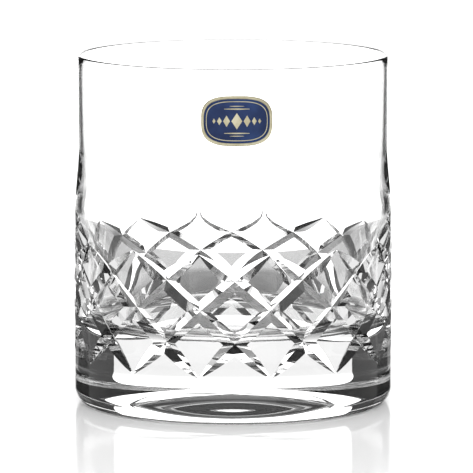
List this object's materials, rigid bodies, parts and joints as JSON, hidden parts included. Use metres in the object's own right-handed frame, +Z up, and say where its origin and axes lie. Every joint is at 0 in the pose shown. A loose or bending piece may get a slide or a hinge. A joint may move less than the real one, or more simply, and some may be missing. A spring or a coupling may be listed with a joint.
{
  "type": "whiskey tumbler",
  "caption": "Cut crystal whiskey tumbler: straight thin wall, heavy solid base, crossed mitre-cut band round the lower half, and a small blue and gold foil seal near the rim.",
  "frame": {"origin": "centre of the foot ring, on the surface the glass stands on", "axes": "+Z up along the axis of the glass, -Y towards the foil seal on the front of the wall"},
  "size_m": [0.082, 0.082, 0.09],
  "materials": {
    "crystal_glass": "clear colourless crystal, fire-polished above and cut and polished below",
    "label_glue": "clear to milky pressure-sensitive adhesive film",
    "gold_foil": "gold metallised foil, softly shiny",
    "blue_print": "deep blue transparent lacquer printed on foil"
  },
  "bodies": {
    "root": {"glass_body": "crystal_glass", "label_adhesive": "label_glue", "label_foil": "gold_foil", "label_print": "blue_print"}
  },
  "joints": []
}
